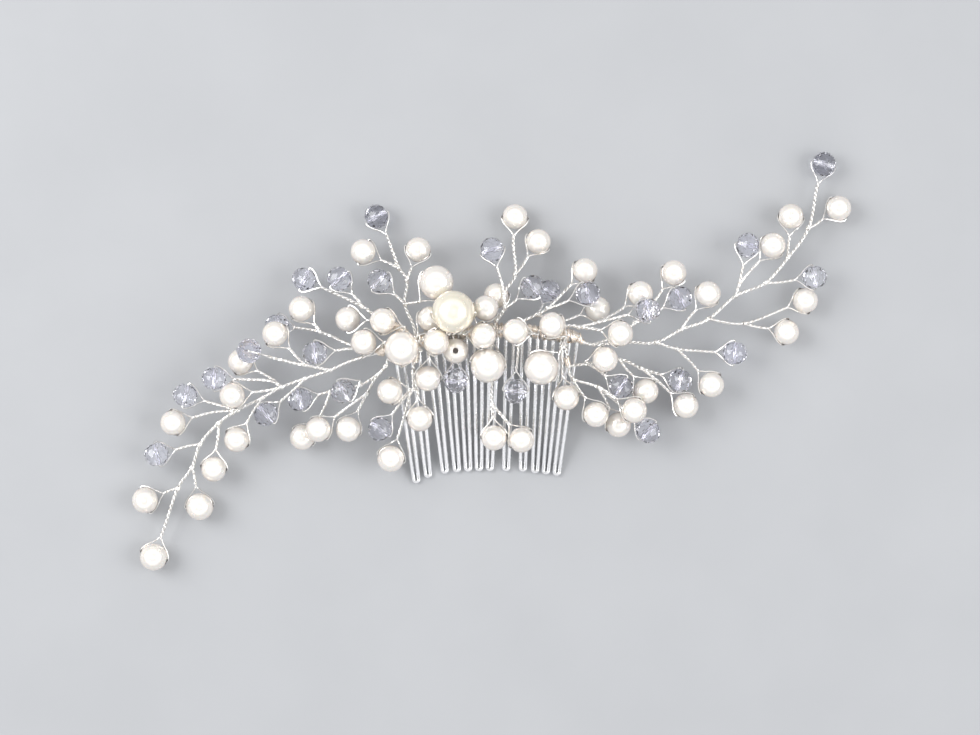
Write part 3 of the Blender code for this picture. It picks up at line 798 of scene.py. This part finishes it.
# %% Roots and knots
ROOTS = {  # from the rail to the root of each spray, in millimetres
    "upper_left_spray": [(-17.8, 4.8, 12.3)],
    "left_shoulder_spray": [(-19.6, 4.4, 12.3)],
    "cluster": [(-20.8, 4.0, 12.3)],
    "right_cluster": [(16.2, 6.2, 12.3)],
    "left_drop": [(-17.6, 5.0, 12.2)],
    "centre_drop": [(0.3, 7.2, 12.3), (0.2, 5.2, 12.0)],
    "top_spray": [(0.6, 7.3, 12.3)],
    "upper_right_spray": [(7.2, 7.3, 12.3)],
    "lower_left_spray": [(-24.0, 2.6, 10.9)],
    "left_vine": [(-24.2, 3.6, 11.9), (-25.8, 2.7, 11.3)],
    "right_vine": [(19.2, 6.0, 12.2), (20.6, 5.0, 11.6)],
    "lower_right_spray": [(17.0, 5.6, 12.3), (17.4, 2.6, 11.8)],
}
BENDABLE = ("left_vine", "right_vine", "lower_right_spray")
KNOT_TURNS = 1.6
KNOT_RADIUS = 0.5 * MM
KNOT_STEPS = 18


def coil(centre, axis, radius, turns, pitch, steps):
    """A helix about an axis through its middle point."""
    axis = axis.normalized()
    across = axis.orthogonal().normalized()
    points = []
    for i in range(steps + 1):
        share = i / steps - 0.5
        angle = math.tau * turns * share
        spoke = across * math.cos(angle) + axis.cross(across) * math.sin(angle)
        points.append(centre + axis * (share * turns * pitch) + spoke * radius)
    return points


def knot(place, direction):
    """The turns that a strand takes round a stem."""
    return coil(place, direction, KNOT_RADIUS, KNOT_TURNS, STRAND_RADIUS * 2, KNOT_STEPS)


def spray_strands(name, stems):
    """All the strands and knots of a spray, and each bead with the direction of its hole."""
    lines, strands, beads = [], [], []
    for number, (start, route, bead) in enumerate(stems):
        if start:
            line = [lines[start[0]][start[1]], *route]
            parent = lines[start[0]]
            at = min(start[1], len(parent) - 2)
            direction = parent[at + 1] - parent[at] if len(parent) > 1 else line[-1] - bead.centre
            strands.append(knot(line[0], direction))
        else:
            line = list(route)
        lines.append(line)
        if not start and name not in BENDABLE:
            line = [Vector(point) * MM for point in ROOTS[name]] + line
        radius = STRAND_RADIUS if start else TRUNK_STRAND_RADIUS
        points, hole = stem_strand(line, bead, radius, BOW if number % 2 else -BOW)
        strands.append(points)
        beads.append((bead, hole))
    return strands, beads


# %% Make every spray
SPIN_STEP = math.radians(137.5)  # each bead is turned on its wire by this much more than the last one
pearl_models = {}
furthest = 0.0
for spray, stems in SPRAYS.items():
    wire_node = f"{spray}_wire"
    body = body_of[wire_node]
    strands, beads = spray_strands(spray, stems)
    wire = make_wire(f"{spray}_twisted_wire", strands, STRAND_RADIUS, 1, silver_wire, body)
    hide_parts(wire_node)
    loose = 0
    for number, (bead, hole) in enumerate(beads, start=1):
        spin = number * SPIN_STEP
        if bead.glass:
            place_bead(f"{spray}_glass_bead_{number}", glass_model, bead, hole, spin, body)
            continue
        if bead.radius not in pearl_models:
            pearl_models[bead.radius] = model_pearl(bead.radius)
        model = pearl_models[bead.radius]
        if bead.fixed:
            place_bead(f"{spray}_fixed_pearl_{number}", model, bead, hole, spin, body)
            continue
        loose += 1
        node = f"{spray}_pearl_{loose}"
        piece = place_bead(f"{spray}_bored_pearl_{loose}", model, bead, hole, spin, body_of[node])
        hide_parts(node)
        low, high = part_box(node)
        furthest = max(furthest, ((low + high) / 2 - bead.centre).length)
print("every pearl is within", round(furthest / MM, 3), "mm of its solid")

# %% [markdown]
# ## The comb
# The comb is one hard wire bent to and fro: down a leg, round the tip of a tooth, up the next leg and
# over to the next tooth. Legs bow gently away from the table and the tips rest on it. The bends are
# half circles, because a bender turns the wire round a pin.

# %% Comb wire
TOOTH_WIRE_RADIUS = 0.5 * MM
TOOTH_COUNT = 12
TOOTH_PITCH = 3.75 * MM
FIRST_TOOTH_X = -22 * MM
LEG_SPACING = TOOTH_PITCH / 2
TIP_SPACING = 1.25 * MM
RAIL_TOP_Z = 10 * MM
TOOTH_TIP_X = (-18.1, -15.3, -11.3, -8.4, -5.7, -3.1, -0.5, 3.4, 7.4, 10.3, 12.9, 15.5)
TOOTH_TIP_Y = (-28.1, -26.8, -25.8, -25.5, -25.3, -25.2, -25.2, -25.2, -25.3, -25.7, -26, -26.3)
TOOTH_BOW = 0.35
LEG_POINTS = 12
BEND_POINTS = 9
ARCH_HALF_LENGTH = 23 * MM
ARCH_MIDDLE_Y = 7.0  # in millimetres, as the next two
ARCH_SAG = 3.0
ARCH_LEAN = 0.8


def rail_y(x):
    """The rail's gentle arch: highest near the middle, its left end a little lower than its right."""
    share = x / ARCH_HALF_LENGTH
    return (ARCH_MIDDLE_Y - ARCH_SAG * share**2 + ARCH_LEAN * share) * MM


def leg(top_x, tip_x, tip_y):
    """Points down one leg of a tooth."""
    top = Vector((top_x, rail_y(top_x), RAIL_TOP_Z))
    tip = Vector((tip_x, tip_y, TOOTH_WIRE_RADIUS))
    points = []
    for i in range(LEG_POINTS + 1):
        share = i / LEG_POINTS
        point = top.lerp(tip, share)
        point.z = tip.z + (top.z - tip.z) * (1 - share) * (1 + TOOTH_BOW * share)
        points.append(point)
    return points


def half_circle(start, end, away):
    """The points between start and end of a round bend that bulges towards away."""
    middle = (start + end) / 2
    half = (start - end) / 2
    points = []
    for i in range(1, BEND_POINTS):
        angle = math.pi * i / BEND_POINTS
        points.append(middle + half * math.cos(angle) + away * (half.length * math.sin(angle)))
    return points


def comb_wire_points():
    points = []
    for number in range(TOOTH_COUNT):
        top_x = FIRST_TOOTH_X + number * TOOTH_PITCH
        tip_x, tip_y = TOOTH_TIP_X[number] * MM, TOOTH_TIP_Y[number] * MM
        down = leg(top_x - LEG_SPACING / 2, tip_x - TIP_SPACING / 2, tip_y)
        up = leg(top_x + LEG_SPACING / 2, tip_x + TIP_SPACING / 2, tip_y)[::-1]
        if points:
            points += half_circle(points[-1], down[0], Vector((0, 1, 0)))
        points += down + half_circle(down[-1], up[0], Vector((0, -1, 0))) + up
    return points


comb_wire = make_wire(
    "comb_hairpin_teeth", [comb_wire_points()], TOOTH_WIRE_RADIUS, 4, comb_steel, "comb")
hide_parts("comb_tooth_wire")
print("comb wire", len(comb_wire.data.polygons), "faces")

# %% [markdown]
# ## The rail and its winding
# A straight wire lies over the tops of the teeth, and fine champagne wire is wound over both from end
# to end. The maker winds it between the legs, so at the front the turns bunch up in the gaps, and over
# the top they spread out again. Three layers that slant in opposite ways, with single turns that stand
# in or out and a wrapping that swells, sinks and tapers to its ends, give the look of hand work.

# %% Rail
RAIL_RADIUS = 0.6 * MM
RAIL_LOW_X, RAIL_HIGH_X = -25.2 * MM, 20.6 * MM
RAIL_GAP = 0.3 * MM  # between the rail and the tops of the teeth
RAIL_Z = RAIL_TOP_Z + TOOTH_WIRE_RADIUS + RAIL_RADIUS + RAIL_GAP
RAIL_SHIFT_Y = 0.4 * MM
RAIL_POINTS = 40


def rail_points():
    xs = [RAIL_LOW_X + (RAIL_HIGH_X - RAIL_LOW_X) * i / RAIL_POINTS for i in range(RAIL_POINTS + 1)]
    return [Vector((x, rail_y(x) + RAIL_SHIFT_Y, RAIL_Z)) for x in xs]


rail = make_wire("comb_rail_wire", [rail_points()], RAIL_RADIUS, 4, comb_steel, "comb")
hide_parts("comb_top_rail")

# %% Winding
WINDING_RADIUS = 0.17 * MM
WINDING_SHIFT = Vector((0, 0.3, 10.8)) * MM  # the winding's axis from the arch of the rail
WINDING_STEPS = 18
CROWDING = 0.7  # how far the turns in front are drawn into the gap between two legs
CROWDING_EASE = 0.7  # below 1, a turn is drawn in sooner on its way to the front
WAVER, WAVER_RATE = 0.12 * MM, 2.3  # how far single turns stand in or out, and how fast that changes
LUMP, LUMP_RATE = 0.2 * MM, 0.6  # how far the wrapping swells and sinks, which takes several turns
WINDING_ENDS = (-26.2 * MM, 20.9 * MM)
TAPER_LENGTH = 2.2 * MM
END_THICKNESS = 0.6  # at its very ends, as a share of the full thickness


def winding(low_x, high_x, pitch, half_depth, half_height, slant):
    """A hand wound coil over the rail and the tops of the legs. slant is 1 or -1, its sense of winding."""
    turns = (high_x - low_x) / pitch
    steps = round(turns * WINDING_STEPS)
    points = []
    for i in range(steps + 1):
        turn = turns * i / steps
        angle = math.tau * turn
        even_x = low_x + turn * pitch
        gap_x = FIRST_TOOTH_X + LEG_SPACING * round((even_x - FIRST_TOOTH_X) / LEG_SPACING)
        in_front = max(0.0, -math.cos(angle))
        crowded = in_front**CROWDING_EASE * CROWDING
        x = even_x + (gap_x - even_x) * crowded
        taper = min(x - WINDING_ENDS[0], WINDING_ENDS[1] - x) / TAPER_LENGTH
        swell = END_THICKNESS + (1 - END_THICKNESS) * max(0.0, min(1.0, taper))
        waves = WAVER * math.sin(WAVER_RATE * turn) + LUMP * math.sin(LUMP_RATE * turn * slant)
        swell += waves / half_height
        y = rail_y(x) + WINDING_SHIFT.y + half_depth * swell * math.cos(angle)
        z = WINDING_SHIFT.z + half_height * swell * math.sin(angle) * slant
        points.append(Vector((x, y, z)))
    return points


def add_winding(name, low_x, high_x, layers, node=None):
    """One wound stretch. Each layer is its pitch, its half depth and half height, and its slant."""
    strands = [winding(low_x * MM, high_x * MM, *(size * MM for size in sizes), slant)
               for *sizes, slant in layers]
    piece = make_wire(name, strands, WINDING_RADIUS, 1, champagne_wire, "comb")
    if node:
        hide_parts(node)
    print(name, len(piece.data.polygons), "faces")


INNER = (0.47, 1.4, 1.5, 1)
OUTER = (0.62, 1.55, 1.75, -1)
add_winding("left_end_winding", -26.2, -17.2, [INNER, OUTER, (0.5, 1.85, 2.05, 1)], "left_binding_wire")
add_winding("middle_winding", -17.2, 12.4, [INNER, OUTER, (1.3, 1.7, 1.9, 1)])
add_winding("right_end_winding", 12.4, 20.9, [INNER, OUTER, (0.75, 1.65, 1.9, 1)], "right_binding_wire")

# %% [markdown]
# ## Links and lashings
# Each of the three sprays that can be bent hangs on a short link of the same twisted wire, which runs
# out of the winding to the point where the spray bends. The right vine has a second, upper one. Where a
# rope leaves the winding, a close coil of champagne wire in one or two layers covers it.

# %% Links
LINKS = {spray: ROOTS[spray] + [SPRAYS[spray][0][1][0] / MM] for spray in BENDABLE}
LINKS["right_vine_upper"] = [(16.4, 8.0, 12.0), (18.4, 8.4, 12.5), (20.4, 8.1, 12.6)]

for name, route in LINKS.items():
    route = [Vector(point) * MM for point in route]
    direction = route[-1] - route[-2]
    sideways = Vector((0, 0, 1)).cross(direction).normalized()
    strands = [*twist(route, sideways, TRUNK_STRAND_RADIUS), knot(route[-1], direction)]
    make_wire(f"{name}_link", strands, STRAND_RADIUS, 1, silver_wire, "comb")
print("links for", ", ".join(LINKS))

# %% Lashings
LASHINGS = {  # where each coil starts and ends, and the radius of each of its layers, in millimetres
    "left_vine": ((-25.2, 3.0, 11.5), (-27.0, 2.1, 11.05), (0.62, 0.95)),
    "right_vine": ((20.0, 5.4, 11.8), (21.3, 4.6, 11.3), (0.62,)),
    "lower_right_spray": ((17.5, 1.0, 11.2), (17.9, -0.8, 10.4), (0.62,)),
    "left_shoulder_spray": ((-19.9, 6.4, 12.5), (-23.2, 8.7, 12.0), (0.62, 0.9)),
    "left_drop": ((-17.5, 4.6, 12.2), (-18.2, -0.2, 11.8), (0.62, 0.9)),
}
LASHING_STEPS = 16  # for each turn

for spray, (start, end, radii) in LASHINGS.items():
    start, end = Vector(start) * MM, Vector(end) * MM
    pitch = WINDING_RADIUS * 2
    turns = (end - start).length / pitch
    layers = [coil((start + end) / 2, end - start, radius * MM, turns, pitch, round(turns * LASHING_STEPS))
              for radius in radii]
    make_wire(f"{spray}_lashing", layers, WINDING_RADIUS, 1, champagne_wire, "comb")
print("lashings for", ", ".join(LASHINGS))

# %% [markdown]
# ## The floor
# The comb lies on a plain pale table, a little darker than the pearls, so that ivory and silver both
# stand out from it. The table isn't part of the comb.

# %% Floor
FLOOR_SIZE = 3.0
FLOOR_GAP = 0.05 * MM  # keeps it clear of what rests on it
bpy.ops.object.select_all(action="DESELECT")
bpy.ops.mesh.primitive_plane_add(size=FLOOR_SIZE, location=(0, 0, -FLOOR_GAP))
floor = bpy.context.object
floor.name = "table"
floor.data.materials.append(drifting_material(
    "pale_table", (0.43, 0.44, 0.455), (0.415, 0.425, 0.44), 30, 0.55, 0.65, 0.1))
floor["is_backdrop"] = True

# %% [markdown]
# ## Size and finish
# The dressed comb should fill the same box as the solids, and the box that it fills is measured.

# %% Measure and finish
low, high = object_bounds()
